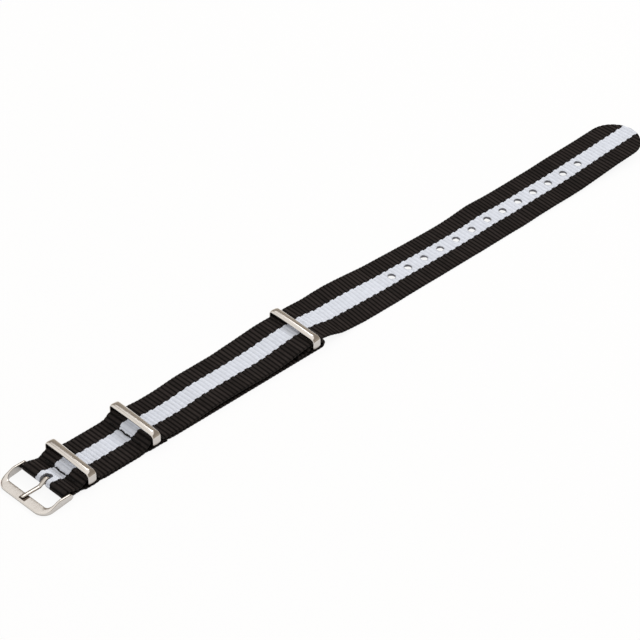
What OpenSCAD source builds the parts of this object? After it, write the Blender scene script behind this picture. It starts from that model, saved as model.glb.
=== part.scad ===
// Nylon pass-through watch strap with a pin buckle and three metal keepers, lying flat with its tail
// stretched out. Millimetres, Z up. X runs from the buckle to the rounded tip, Y across the webbing.
// The origin is on the side towards the wrist, below the middle of the stretch that the watch case
// rests on. The drawing below is measured from the buckle pin, and from_pin() brings it there.

/* [Webbing] */
// Width of the webbing, a little less than the lug width of the watch it fits
web_w = 19.6; // [16:0.2:24]
// Thickness of one layer of webbing
web_t = 0.9; // [0.8:0.05:1.3]
// From the buckle pin to the end of the rounded tip
strap_len = 264.5; // [250:0.5:290]
// How far the tip lifts off the table
tip_lift = 3; // [0:0.1:6]
// Height of the stretch that the watch case rests on, between the second and third keepers
rest_z = 2.75; // [2.4:0.05:3.5]
// Middle of that stretch, from the pin
rest_x = 67; // [64:0.5:70]

/* [Buckle holes] */
// Number of holes
holes = 13; // [5:1:13]
// First hole, from the pin
hole_x = 145.1; // [142:0.5:148]
// From one hole to the next
hole_pitch = 7.6; // [6:0.1:8]
// Diameter of a hole
hole_d = 2.6; // [2:0.1:3]

/* [Buckle] */
// Thickness of the frame's arms, from side to side
arm_w = 0.95; // [0.9:0.05:1.6]
// From the pin to the front of the frame
buckle_len = 10.6; // [9.5:0.1:13]
// Width of the flat front bar
bar_w = 3.3; // [2.4:0.1:3.6]
// Thickness of the front bar
bar_t = 1.35; // [1.1:0.05:1.8]
// Radius of the front corners
corner_r = 3.9; // [2.5:0.1:5]
// Diameter of the pin
pin_d = 1.3; // [1.1:0.05:1.5]
// Outer radius of the ears that hold the pin
ear_r = 1.15; // [1:0.05:1.5]
// Height of the arms at their shoulder, where they are tallest
arm_h = 2.5; // [2:0.1:2.8]
// From the pin to the shoulder
shoulder_x = 3.6; // [2.5:0.1:4.5]
// How far the webbing is lifted off the table at the pin
lift = 0.3; // [0:0.1:1.4]

/* [Tongue] */
// Width of the tongue
tongue_w = 1.5; // [1.2:0.1:2]
// Thickness of the tongue
tongue_t = 0.65; // [0.5:0.05:0.8]
// Reach of the tongue in front of the pin
tongue_len = 9.6; // [9:0.1:10]
// Width of the slot in the webbing that the tongue comes through
slot_w = 2.8; // [2.4:0.1:4]

/* [Keepers] */
// First keeper, from the pin
k1_x = 9.1; // [8.9:0.1:10]
// Second keeper
k2_x = 34.4; // [33:0.1:36]
// Keeper at the end of the short strap
k3_x = 101.4; // [99:0.1:102]
// Height of a keeper, outside
ring_h = 5.3; // [4.5:0.05:6]
// Width of a keeper's band, along the strap
ring_w = 2.8; // [2:0.1:2.9]
// Thickness of a keeper's upper and lower bars
ring_t = 1.0; // [0.9:0.05:1.1]
// Thickness of a keeper's legs
leg_t = 0.7; // [0.6:0.05:1]
// Room between the webbing's edge and a keeper's leg
ring_room = 0.2; // [0.15:0.05:0.6]
// How far the webbing arches above the lower bars of the first two keepers
arch = 0.85; // [0.4:0.05:0.9]

/* [Stitching] */
// From a keeper's middle back to the stitch row before it
row_back = 3.8; // [3.5:0.1:4]
// From a keeper's middle on to the stitch row after it
row_on = 3.5; // [3.4:0.1:4]
// Distance between two needle holes
stitch_pitch = 2.4; // [1.8:0.1:3]
// Thickness of the thread
thread_d = 0.45; // [0.35:0.05:0.5]
// Height of a stitch row above the table
pinch = 0.3; // [0.1:0.05:0.4]

/* [Hidden] */
$fn = 64;

fit = 0.05;                     // round the pin
lay_gap = 0.08;                 // between two layers that lie on each other
under = 0.12;                   // under a keeper's lower bar, where it rolls
bar_room = 0.4;                 // above the third keeper's lower bar, where it tilts
skived = 0.3 * web_t;           // where two ends are pressed thin to overlap

pin_r = pin_d / 2;
fold_r = pin_r + fit;
pin_z = lift + web_t + fold_r;
bar_lo = web_t + under;         // underside of a keeper
bar_hi = bar_lo + ring_t;
over = bar_hi + arch;           // underside of the webbing that arches over a lower bar
over_3 = bar_hi + bar_room;
flat_r = ring_w / 2 + 0.2;      // half of the level stretch over that bar
on_layer = web_t + lay_gap;

row_a = k1_x - row_back;
row_b = k1_x + row_on;
row_c = k2_x - row_back;
row_d = k2_x + row_on;
end_x = row_d + 1.2;            // where the turned-back end stops
flap_x = row_d - 1;             // where the short strap starts, between the other two layers
low_a = 2 * pinch;
fold_w = web_w - 0.8;           // the webbing is drawn in where it turns round the pin
nose_x = k3_x + flat_r + 0.9;   // where the short strap turns round the third keeper
nose_r = (over_3 - web_t) / 2;
row_e = k3_x - flat_r - 3.3;
back_x = row_e - 3;             // where its turned-back end stops
over_flap = over_3 + web_t + lay_gap;

// Height on a smooth curve through [x, height, slope] points
function seg(p, x, i = 0) = i >= len(p) - 2 || x <= p[i + 1].x ? i : seg(p, x, i + 1);
function curve(a, b, u) = (2 * pow(u, 3) - 3 * u * u + 1) * a[1] + (3 * u * u - 2 * pow(u, 3)) * b[1]
    + (b.x - a.x) * ((pow(u, 3) - 2 * u * u + u) * a[2] + (pow(u, 3) - u * u) * b[2]);
function at(p, x) = let (i = seg(p, x), a = p[i], b = p[i + 1]) curve(a, b, (x - a.x) / (b.x - a.x));
function slope(p, x) = (at(p, x + 0.05) - at(p, x - 0.05)) / 0.1;
function level(a, b) = a[1] == b[1] && a[2] == 0 && b[2] == 0;
function stations(p) = [for (i = [0:len(p) - 2]) let (n = level(p[i], p[i + 1]) ? 1 : 6)
    for (k = [0:n - 1]) p[i].x + (p[i + 1].x - p[i].x) * k / n, p[len(p) - 1].x];
function mix(a, b, u) = a + (b - a) * min(1, max(0, u));

// Undersides of the layers
low = [[0, lift, 0], [row_a, low_a, 0], [k1_x - flat_r, 0, 0], [k1_x + flat_r, 0, 0], [row_b, pinch, 0],
    [row_b + 2.5, 0, 0], [row_c - 2.5, 0, 0], [row_c, pinch, 0], [k2_x - flat_r, 0, 0],
    [end_x, 0, 0]];
thin = (web_t - skived) / (end_x - k2_x - flat_r);
stack = web_t + skived + 2 * lay_gap;
up = [[0, pin_z + fold_r, 0], [row_a, low_a + on_layer, 0], [k1_x - flat_r, over, 0],
    [k1_x + flat_r, over, 0], [row_b, pinch + on_layer, 0], [row_b + 3.5, on_layer, 0],
    [row_c - 3.5, on_layer, 0], [row_c, pinch + on_layer, 0], [k2_x - flat_r, over, 0],
    [k2_x + flat_r, over, 0], [row_d, stack, 0], [end_x, stack, 0], [end_x + 5.5, on_layer + 0.02, 0],
    [end_x + 10, on_layer + 0.06, 0.02], [rest_x - 6, rest_z - web_t, 0],
    [rest_x + 6, rest_z - web_t, 0], [rest_x + 17, rest_z - web_t + 0.35, 0.05],
    [k3_x - flat_r - 0.6, over_flap, 0], [nose_x + 1.6, over_flap, 0],
    [k3_x + 13, 2.1, -0.075], [k3_x + 25, 1.4, -0.05], [hole_x - 2.5, 0.62, 0], [hole_x + 2.5, 0.62, 0],
    [hole_x + 15, 0.28, -0.02], [hole_x + 29, 0, 0], [hole_x + 39, 0.42, 0.055],
    [hole_x + 47, 0.82, 0.015], [hole_x + 59, 0.76, 0.005], [hole_x + 73, 1.05, 0.035],
    [strap_len, tip_lift, 0.05]];
flap = [[flap_x, low_t(flap_x) + lay_gap, -thin], [end_x, skived + lay_gap, -thin],
    [end_x + 5, 0, 0], [nose_x, 0, 0]];
flap_up = [[back_x, on_layer, 0], [row_e + 0.9, on_layer, 0], [k3_x - flat_r, over_3, 0],
    [nose_x, over_3, 0]];

function low_t(x) = mix(web_t, skived, (x - k2_x - flat_r) / (end_x - k2_x - flat_r));
function flap_t(x) = mix(skived, web_t, (x - flap_x) / (end_x - flap_x));
function full_t(x) = web_t;

// One layer of webbing seen from its edge: its underside follows the points
module layer(p, kind) {
    xs = stations(p);
    t = [for (x = xs) (kind == "low" ? low_t(x) : kind == "flap" ? flap_t(x) : full_t(x))
        * sqrt(1 + pow(slope(p, x), 2))];
    n = len(xs) - 1;
    polygon(concat([for (i = [0:n]) [xs[i], at(p, xs[i])]],
        [for (i = [n:-1:0]) [xs[i], at(p, xs[i]) + t[i]]]));
}

// Brings what is drawn with the buckle pin at X 0 to its place
module from_pin() {
    translate([-rest_x, 0, 0]) children();
}

// Half a turn of webbing, open towards +X when side is 1
module turn(x, z, r, side) {
    translate([x, z]) difference() {
        circle(r = r + web_t);
        circle(r = r);
        translate([side > 0 ? 0 : -9, -9]) square([9, 18]);
    }
}

// Takes a drawing in X and Z across the strap, centred on its middle line
module across(w) {
    translate([0, w / 2, 0]) rotate([90, 0, 0]) linear_extrude(w) children();
}

module slot_cut(x, len_) {
    translate([0, 0, -1]) linear_extrude(8) {
        translate([x - len_, -slot_w / 2]) square([len_ - slot_w / 2, slot_w]);
        translate([x - slot_w / 2, 0]) circle(d = slot_w);
    }
}

needle = [for (i = [0:floor((web_w - 3) / stitch_pitch)]) i * stitch_pitch];
row_w = needle[len(needle) - 1];
groove = thread_d * 0.7;
stem = thread_d * 0.6;

// Room for one stitch row: a groove above, a flush groove below, and the needle holes
module row_cut(x, lo, hi) {
    translate([x - thread_d * 0.6, -row_w / 2 - thread_d, hi - groove])
        cube([thread_d * 1.2, row_w + 2 * thread_d, 1 + groove]);
    translate([x - thread_d * 0.6, -row_w / 2 - thread_d, lo - 1])
        cube([thread_d * 1.2, row_w + 2 * thread_d, 1 + thread_d]);
    for (y = needle) translate([x - stem / 2, y - row_w / 2 - stem / 2, lo]) cube([stem, stem, hi - lo]);
}

// One stitch row: the upper thread, the lower thread, and where they meet in the needle holes
module stitch_row(x, lo, hi) {
    color([0.08, 0.08, 0.09]) from_pin() {
        for (z = [lo + thread_d / 2, hi - groove + thread_d / 2])
            translate([x, row_w / 2 + thread_d * 0.8, z]) rotate([90, 0, 0])
                cylinder(d = thread_d, h = row_w + thread_d * 1.6, $fn = 24);
        for (y = needle) translate([x - stem / 2, y - row_w / 2 - stem / 2, lo + thread_d / 2])
            cube([stem, stem, hi - lo - groove]);
    }
}

top_a = low_a + on_layer + web_t;
top_b = pinch + on_layer + web_t;
top_d = stack + web_t;
top_e = on_layer + web_t;

module main_strap() {
    color([0.16, 0.15, 0.15]) from_pin() difference() {
        intersection() {
            across(web_w) {
                turn(0, pin_z, fold_r, 1);
                layer(up, "full");
                layer(low, "low");
            }
            translate([0, 0, -1]) linear_extrude(12) {
                translate([10, -web_w / 2]) square([strap_len - web_w / 2 - 10, web_w]);
                polygon([[10, web_w / 2], [2, fold_w / 2], [-5, fold_w / 2],
                    [-5, -fold_w / 2], [2, -fold_w / 2], [10, -web_w / 2]]);
                translate([strap_len - web_w / 2, 0]) circle(d = web_w, $fn = 96);
            }
        }
        slot_cut(pin_r + tongue_t + 0.9, 8);
        for (i = [0:holes - 1]) translate([hole_x + i * hole_pitch, 0, -1])
            cylinder(d = hole_d, h = 8, $fn = 32);
        row_cut(row_a, low_a, top_a);
        row_cut(row_b, pinch, top_b);
        row_cut(row_c, pinch, top_b);
        row_cut(row_d, 0, top_d);
    }
}

module keeper_flap() {
    color([0.14, 0.13, 0.13]) from_pin() difference() {
        across(web_w) {
            layer(flap, "flap");
            layer(flap_up, "full");
            turn(nose_x, web_t + nose_r, nose_r, -1);
        }
        row_cut(row_d, -1, 9);
        row_cut(row_e, 0, top_e);
    }
}

frame_in = web_w / 2 + 0.25;
frame_out = frame_in + arm_w;
pin_len = 2 * (frame_in + arm_w * 0.6);   // its ends sit in blind holes in the ears
inner_r = 2;
edge_r = 0.45;
notch_z = bar_t - 0.35;
notch_x = tongue_len + 0.35;
flat_x = bar_w - 0.6;           // the bar is level this far back, and then the arms rise
top_z = pin_z + ear_r;
ear = [0, pin_z];
shoulder = [-shoulder_x, top_z - arm_h / 2];

// Where a line from p touches a circle of radius r about c, on its upper side when s is 1
function touch(p, c, r, s) = let (d = c - p, a = atan2(d.y, d.x) + s * asin(r / norm(d)))
    c + s * r * [-sin(a), cos(a)];

// The frame from the side: a flat front bar, arms that rise to a shoulder, round ears
module frame_side() {
    foot = [-buckle_len + flat_x, 0];
    step = [foot.x, bar_t];
    translate([-buckle_len, 0]) square([flat_x, bar_t - edge_r]);
    translate([-buckle_len + edge_r, 0]) square([flat_x - edge_r, bar_t]);
    translate([-buckle_len + edge_r, bar_t - edge_r]) circle(r = edge_r, $fn = 32);
    polygon([foot, touch(foot, ear, ear_r, -1), ear, [0, top_z], [-shoulder_x, top_z], shoulder,
        touch(step, shoulder, arm_h / 2, 1), step]);
    translate(shoulder) circle(r = arm_h / 2);
    translate(ear) circle(r = ear_r);
}

// The frame from above: a U with round corners
module frame_plan() {
    difference() {
        union() {
            translate([-buckle_len + corner_r, -frame_out]) square([buckle_len, 2 * frame_out]);
            translate([-buckle_len, -frame_out + corner_r])
                square([corner_r + 1, 2 * (frame_out - corner_r)]);
            for (s = [-1, 1]) translate([-buckle_len + corner_r, s * (frame_out - corner_r)])
                circle(r = corner_r);
        }
        translate([-buckle_len + bar_w, -frame_in + inner_r])
            square([buckle_len + 9, 2 * (frame_in - inner_r)]);
        translate([-buckle_len + bar_w + inner_r, -frame_in]) square([buckle_len + 9, 2 * frame_in]);
        for (s = [-1, 1]) translate([-buckle_len + bar_w + inner_r, s * (frame_in - inner_r)])
            circle(r = inner_r);
    }
}

module buckle_frame() {
    color([0.82, 0.79, 0.75]) from_pin() difference() {
        intersection() {
            across(2 * frame_out + 1) frame_side();
            translate([0, 0, -1]) linear_extrude(9) frame_plan();
        }
        translate([0, pin_len / 2 + 0.02, pin_z]) rotate([90, 0, 0])
            cylinder(d = pin_d + 0.04, h = pin_len + 0.04);
        translate([-notch_x, -tongue_w / 2 - 0.45, notch_z]) cube([notch_x, tongue_w + 0.9, 9]);
    }
}

module buckle_pin() {
    color([0.72, 0.70, 0.67]) from_pin() translate([0, pin_len / 2, pin_z]) rotate([90, 0, 0])
        cylinder(d = pin_d, h = pin_len);
}

// The tongue is curled round the pin, dips to a bend, then runs level to its tip in the notch
dip = 33;
knee_r = 1.1;
curl_r = fold_r + tongue_t / 2;
tip_z = notch_z + 0.02 + tongue_t / 2;
leave = [-curl_r * sin(dip), pin_z + curl_r * cos(dip)];
drop = leave.y - tip_z - knee_r * (1 - cos(dip));
run = drop / sin(dip);
knee = [leave.x - run * cos(dip), leave.y - drop];
level_x = knee.x - knee_r * sin(dip);

// A strip of the tongue bent to radius r about c, from angle a to angle b
module bent(c, r, a, b) {
    translate(c) intersection() {
        difference() {
            circle(r = r + tongue_t / 2);
            circle(r = r - tongue_t / 2);
        }
        polygon(concat([[0, 0]], [for (i = [0:8]) 9 * [cos(a + (b - a) * i / 8), sin(a + (b - a) * i / 8)]]));
    }
}

module straight(p, ang, l) {
    translate(p) rotate(ang) translate([-0.01, -tongue_t / 2]) square([l + 0.02, tongue_t]);
}

module tongue_side() {
    bent([0, pin_z], curl_r, -140, 90 + dip);
    straight(leave, 180 + dip, run);
    bent([level_x, tip_z + knee_r], knee_r, -90, dip - 90);
    straight([level_x, tip_z], 180, level_x + tongue_len);
}

module buckle_tongue() {
    color([0.84, 0.81, 0.77]) from_pin() intersection() {
        across(tongue_w) tongue_side();
        translate([0, 0, -1]) linear_extrude(9) {
            translate([-tongue_len + tongue_w / 2, -tongue_w / 2]) square([tongue_len + 4, tongue_w]);
            translate([-tongue_len + tongue_w / 2, 0]) circle(d = tongue_w);
        }
    }
}

ring_in = web_w / 2 + ring_room;
ring_out = ring_in + leg_t;
dome = 0.5;
dome_r = (pow(ring_w / 2, 2) + pow(dome, 2)) / (2 * dome);
ring_r = 1.6;
bevel = 0.45;

module round_box(w, h, r) {
    translate([-w / 2 + r, 0]) square([w - 2 * r, h]);
    translate([-w / 2, r]) square([w, h - 2 * r]);
    for (s = [-1, 1]) for (z = [r, h - r]) translate([s * (w / 2 - r), z]) circle(r = r, $fn = 48);
}

// A keeper: a band bent to a flattened ring, domed along its bars and flat on its legs
module keeper(x) {
    color([0.84, 0.81, 0.77]) from_pin() translate([x, 0, bar_lo]) difference() {
        intersection() {
            translate([-ring_w, 0, 0]) rotate([90, 0, 90]) linear_extrude(2 * ring_w) difference() {
                round_box(2 * ring_out, ring_h, ring_r);
                translate([0, ring_t]) round_box(2 * ring_in, ring_h - 2 * ring_t, 0.6);
            }
            across(2 * ring_out + 1) for (z = [dome_r, ring_h - dome_r]) intersection() {
                translate([-ring_w / 2, 0]) square([ring_w, ring_h]);
                union() {
                    translate([0, z]) circle(r = dome_r);
                    translate([-9, dome_r]) square([18, ring_h - 2 * dome_r]);
                }
            }
            translate([0, -ring_out, -1]) linear_extrude(ring_h + 2) round_box(ring_w, 2 * ring_out, 0.35);
        }
        // the lower bar tilts in its pocket, so its inner edges are taken off
        for (s = [-1, 1]) translate([s * ring_w / 2, 0, ring_t]) rotate([0, 45, 0])
            cube([bevel * sqrt(2), 2 * ring_in - 1.2, bevel * sqrt(2)], center = true);
    }
}

module first_keeper() { keeper(k1_x); }
module second_keeper() { keeper(k2_x); }
module flap_keeper() { keeper(k3_x); }
module stitch_row_1() { stitch_row(row_a, low_a, top_a); }
module stitch_row_2() { stitch_row(row_b, pinch, top_b); }
module stitch_row_3() { stitch_row(row_c, pinch, top_b); }
module stitch_row_4() { stitch_row(row_d, 0, top_d); }
module stitch_row_5() { stitch_row(row_e, 0, top_e); }

main_strap();
keeper_flap();
buckle_frame();
buckle_pin();
buckle_tongue();
first_keeper();
second_keeper();
flap_keeper();
stitch_row_1();
stitch_row_2();
stitch_row_3();
stitch_row_4();
stitch_row_5();
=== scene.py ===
# %% [markdown]
# This lesson dresses a nylon pass-through watch strap. The metal and the webbing already exist as plain
# solids in the frame, each with its real size and place, and each moving piece has its hinge. Here the
# webbing gets its ribs and its stripe, the thread its twist, and the metal its soft edges and polish.
# Everything is in metres in the frame's own axes: X runs from the buckle to the tip, Y across the
# webbing, Z up, and the origin lies under the stretch that a watch case rests on.

# %% Load the frame
import math

import bmesh
import bpy
import numpy as np
from mathutils import Matrix, Vector


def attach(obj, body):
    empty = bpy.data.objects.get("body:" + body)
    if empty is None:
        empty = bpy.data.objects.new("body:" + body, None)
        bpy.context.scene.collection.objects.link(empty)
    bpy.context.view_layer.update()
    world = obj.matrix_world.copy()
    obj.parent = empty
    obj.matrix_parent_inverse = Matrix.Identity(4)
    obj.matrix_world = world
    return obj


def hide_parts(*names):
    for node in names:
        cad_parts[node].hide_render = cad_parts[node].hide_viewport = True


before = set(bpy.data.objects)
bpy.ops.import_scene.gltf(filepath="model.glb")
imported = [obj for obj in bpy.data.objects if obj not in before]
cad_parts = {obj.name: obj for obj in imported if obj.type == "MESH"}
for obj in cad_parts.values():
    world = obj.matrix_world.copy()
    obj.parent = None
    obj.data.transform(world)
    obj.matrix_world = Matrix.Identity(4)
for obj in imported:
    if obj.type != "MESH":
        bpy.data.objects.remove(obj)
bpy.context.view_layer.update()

MM = 0.001

# %% [markdown]
# The driving sizes come first. They are the sizes of the solids in millimetres, measured along X from
# the buckle pin, because that is how a strap maker lays one out. PIN_X takes a place measured from the
# pin to the frame's origin.

# %% Sizes
PIN_X = -67.0
WEB_W, WEB_T = 19.6, 0.9
STRAP_LEN, TIP_LIFT = 264.5, 3.0
HOLE_X, HOLE_PITCH, HOLES, HOLE_R = 145.1, 7.6, 13, 1.3
REST_X, REST_Z = 67.0, 2.75
KEEPER_X = [9.1, 34.4, 101.4]
RING_W, RING_H, RING_T, LEG_T, RING_ROOM = 2.8, 5.3, 1.0, 0.7, 0.2
PIN_R, FIT, LIFT = 0.65, 0.05, 0.3
LAY_GAP, UNDER, ARCH, BAR_ROOM = 0.08, 0.12, 0.85, 0.4
SKIVED = 0.3 * WEB_T
PINCH = 0.3
FOLD_R = PIN_R + FIT
PIN_Z = LIFT + WEB_T + FOLD_R
BAR_LO = WEB_T + UNDER
OVER = BAR_LO + RING_T + ARCH
OVER_3 = BAR_LO + RING_T + BAR_ROOM
FLAT_R = RING_W / 2 + 0.2
ON_LAYER = WEB_T + LAY_GAP
ROW_A, ROW_B = KEEPER_X[0] - 3.8, KEEPER_X[0] + 3.5
ROW_C, ROW_D = KEEPER_X[1] - 3.8, KEEPER_X[1] + 3.5
END_X, FLAP_X = ROW_D + 1.2, ROW_D - 1.0
NOSE_X = KEEPER_X[2] + FLAT_R + 0.9
NOSE_R = (OVER_3 - WEB_T) / 2
ROW_E = KEEPER_X[2] - FLAT_R - 3.3
BACK_X = ROW_E - 3.0
LOW_A = 2 * PINCH
STACK = WEB_T + SKIVED + 2 * LAY_GAP
THIN = (WEB_T - SKIVED) / (END_X - KEEPER_X[1] - FLAT_R)
OVER_FLAP = OVER_3 + WEB_T + LAY_GAP
print("pin axis at", PIN_Z, "mm")
print("stitch rows at", [round(row, 2) for row in (ROW_A, ROW_B, ROW_C, ROW_D, ROW_E)], "mm from the pin")

# %% [markdown]
# Webbing is a flat band that bends only along its length, so its whole shape is one line seen from the
# edge. Each layer follows a smooth curve through a few heights, as its solid does. The main webbing
# starts at its turned-back end, runs under the first two keepers to the buckle, turns round the pin and
# goes back over everything to the tip. Where its end overlaps the short webbing, both are pressed thin.

# %% The routes of the two webbings
def climb(x, z, keeper):
    """From the crease at a stitch row, straight up to the level stretch under a keeper's upper bar."""
    return [
        (x, z, 0.2), (x + 0.5, z + 0.27, 0.65),
        (keeper - FLAT_R, OVER - 0.12, 0.45), (keeper - 0.5, OVER, 0),
    ]


UP = [
    (0, PIN_Z + FOLD_R, 0), *climb(ROW_A, LOW_A + ON_LAYER, KEEPER_X[0]),
    (KEEPER_X[0] + FLAT_R, OVER, 0), (ROW_B, PINCH + ON_LAYER, 0), (ROW_B + 3.5, ON_LAYER, 0),
    (ROW_C - 3.5, ON_LAYER, 0), *climb(ROW_C, PINCH + ON_LAYER, KEEPER_X[1]),
    (KEEPER_X[1] + FLAT_R, OVER, 0), (ROW_D, STACK, 0), (END_X, STACK, 0),
    (END_X + 5.5, ON_LAYER + 0.02, 0), (END_X + 10, ON_LAYER + 0.06, 0.02),
    (REST_X - 6, REST_Z - WEB_T, 0), (REST_X + 6, REST_Z - WEB_T, 0),
    (REST_X + 17, REST_Z - WEB_T + 0.35, 0.05), (KEEPER_X[2] - FLAT_R - 0.6, OVER_FLAP, 0),
    (NOSE_X + 1.6, OVER_FLAP, 0), (KEEPER_X[2] + 13, 2.1, -0.075), (KEEPER_X[2] + 25, 1.4, -0.05),
    (HOLE_X - 2.5, 0.62, 0), (HOLE_X + 2.5, 0.62, 0), (HOLE_X + 15, 0.28, -0.02), (HOLE_X + 29, 0, 0),
    (HOLE_X + 39, 0.42, 0.055), (HOLE_X + 47, 0.82, 0.015), (HOLE_X + 59, 0.76, 0.005),
    (HOLE_X + 73, 1.05, 0.035), (STRAP_LEN, TIP_LIFT, 0.05),
]
LOW = [
    (0, LIFT, 0), (ROW_A, LOW_A, 0), (KEEPER_X[0] - FLAT_R, 0, 0), (KEEPER_X[0] + FLAT_R, 0, 0),
    (ROW_B, PINCH, 0), (ROW_B + 2.5, 0, 0), (ROW_C - 2.5, 0, 0), (ROW_C, PINCH, 0),
    (KEEPER_X[1] - FLAT_R, 0, 0), (END_X, 0, 0),
]


LOW_T = [KEEPER_X[1] + FLAT_R, END_X], [WEB_T, SKIVED]
FLAP_T = [FLAP_X, END_X], [SKIVED, WEB_T]
FULL_T = [0, STRAP_LEN], [WEB_T, WEB_T]
FLAP = [
    (FLAP_X, float(np.interp(FLAP_X, *LOW_T)) + LAY_GAP, -THIN), (END_X, SKIVED + LAY_GAP, -THIN),
    (END_X + 5, 0, 0), (NOSE_X, 0, 0),
]
FLAP_UP = [
    (BACK_X, ON_LAYER, 0), (ROW_E + 0.9, ON_LAYER, 0), (KEEPER_X[2] - FLAT_R, OVER_3, 0),
    (NOSE_X, OVER_3, 0),
]
print("the upper layer follows", len(UP), "heights, the lower one", len(LOW))

# %% [markdown]
# Between two heights a layer follows a cubic curve that keeps the slope at both. Each curve is read off
# every twentieth of a millimetre and strung together with the turns about the pin and the third keeper's
# bar. What comes out is a route: the middle line of a webbing, read by the distance along it.

# %% Routes along the two webbings
STEP, TURN_POINTS, SAME_PLACE = 0.05, 73, 1e-4


def height(points, x):
    """Height of a smooth curve through (x, height, slope) points."""
    i = max(k for k, p in enumerate(points[:-1]) if x >= p[0] or k == 0)
    (x0, z0, s0), (x1, z1, s1) = points[i], points[i + 1]
    d = x1 - x0
    u = (x - x0) / d
    return (
        (2 * u**3 - 3 * u * u + 1) * z0 + (3 * u * u - 2 * u**3) * z1
        + d * ((u**3 - 2 * u * u + u) * s0 + (u**3 - u * u) * s1)
    )


def middle_of(points, x0, x1, thick):
    """The middle line of a layer from x0 to x1: rows of x, z and thickness. thick is (places, values)."""
    out = []
    for x in np.linspace(x0, x1, max(2, int(abs(x1 - x0) / STEP) + 1)):
        slope = (height(points, x + STEP) - height(points, x - STEP)) / (2 * STEP)
        t = float(np.interp(x, *thick))
        out.append((x, height(points, x) + t * math.sqrt(1 + slope * slope) / 2, t))
    return out


def turn(x, z, r, start, end):
    """The middle line of a turn about (x, z), with inner radius r, from angle start to end."""
    c = r + WEB_T / 2
    angles = np.radians(np.linspace(start, end, TURN_POINTS))
    return [(x + c * math.cos(a), z + c * math.sin(a), WEB_T) for a in angles]


class Route:
    """A line seen from the edge of the webbing, read by the distance along it."""

    def __init__(self, rows):
        rows = np.array(rows)
        keep = np.r_[True, np.hypot(np.diff(rows[:, 0]), np.diff(rows[:, 1])) > SAME_PLACE]
        self.x, self.z, self.t = rows[keep].T
        self.s = np.r_[0, np.cumsum(np.hypot(np.diff(self.x), np.diff(self.z)))]
        self.length = float(self.s[-1])
        tx, tz = np.gradient(self.x, self.s), np.gradient(self.z, self.s)
        n = np.hypot(tx, tz)
        self.nx, self.nz = -tz / n, tx / n

    def at(self, s):
        """Place, thickness and the direction out of the face, at a distance along the line."""
        return [float(np.interp(s, self.s, v)) for v in (self.x, self.z, self.t, self.nx, self.nz)]

    def reach(self, x):
        """Distance along the last stretch to where it passes x."""
        k = int(np.argmin(self.x))
        return float(np.interp(x, self.x[k:], self.s[k:]))


main_route = Route(middle_of(LOW, END_X, 0, LOW_T) + turn(0, PIN_Z, FOLD_R, -90, -270)
                   + middle_of(UP, 0, STRAP_LEN, FULL_T))
flap_route = Route(middle_of(FLAP_UP, BACK_X, NOSE_X, FULL_T)
                   + turn(NOSE_X, WEB_T + NOSE_R, NOSE_R, 90, -90)
                   + middle_of(FLAP, NOSE_X, FLAP_X, FLAP_T))
print("main webbing", round(main_route.length, 1), "mm long, flap", round(flap_route.length, 1), "mm")

# %% [markdown]
# This is a warp-faced weave. Thick weft yarns lie across it and make a rib every 1.5 mm. Pairs of warp
# yarns float over each rib as a pad 0.6 mm wide, and the next rib's pads lie half a pad further over, like
# bricks. So the stripe's edges are toothed, with one tooth every two ribs. The strap's outline shows the
# ribs too, so they are real relief in the mesh, and only the filaments are left to the material.

# %% The weave
RIB, PAD = 1.49, 0.58
RIB_DEPTH, PAD_DEPTH = 0.19, 0.04
RIB_ROWS = [0.0, 0.13, 0.37, 0.63, 0.87]
START_ROWS, START_STRETCH = [0.0, 0.04, 0.16], 0.3
TIP_ROWS, TIP_STRETCH, TIP_GAP = 15, 2.2, 0.02
EDGE_R = 0.32


def swell(phase):
    """0 in the gap between two ribs, 1 on a rib's crest: round on top and narrow at the gap."""
    return (1 - abs(2 * phase - 1) ** 2.6) ** 0.6


def weave(s, y):
    """How far the outer face lies below the crest of its pads, in millimetres."""
    rib = math.floor(s / RIB + 1e-6)
    crest = swell(max(0.0, s / RIB - rib))
    pad = y / PAD + 0.5 * (rib % 2)
    groove = 0.5 + 0.5 * math.cos(2 * math.pi * pad)
    return RIB_DEPTH * (1 - crest) + PAD_DEPTH * crest * groove


def stations(length):
    """Distances along a webbing where the mesh has a row: five to a rib, closer at both ends."""
    ribs = [(k + f) * RIB for k in range(int(length / RIB) + 1) for f in RIB_ROWS]
    between = [s for s in ribs if START_STRETCH < s < length - TIP_STRETCH]
    closer = 1 - np.sin(np.linspace(0, math.pi / 2, TIP_ROWS))
    return START_ROWS + between + list(length - TIP_GAP - (TIP_STRETCH - TIP_GAP) * closer)


print("ribs on the main webbing:", int(main_route.length / RIB))

# %% [markdown]
# Every long piece is skinned in the same way. A flat grid has one column for each point of the
# cross-section and one row for each station along the piece. It is rolled up: each vertex moves to its
# place, the two long edges are merged, and open ends are closed. Webbing and thread also get a UV map of
# the distances along and across them, so that a pattern can follow the surface.

# %% Roll a grid into a piece
def added(name, data):
    """A new object in the scene."""
    obj = bpy.data.objects.new(name, data)
    bpy.context.scene.collection.objects.link(obj)
    return obj


def from_bmesh(name, bm):
    """A new object that holds a bmesh, which is used up."""
    mesh = bpy.data.meshes.new(name)
    bm.to_mesh(mesh)
    bm.free()
    return added(name, mesh)


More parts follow.
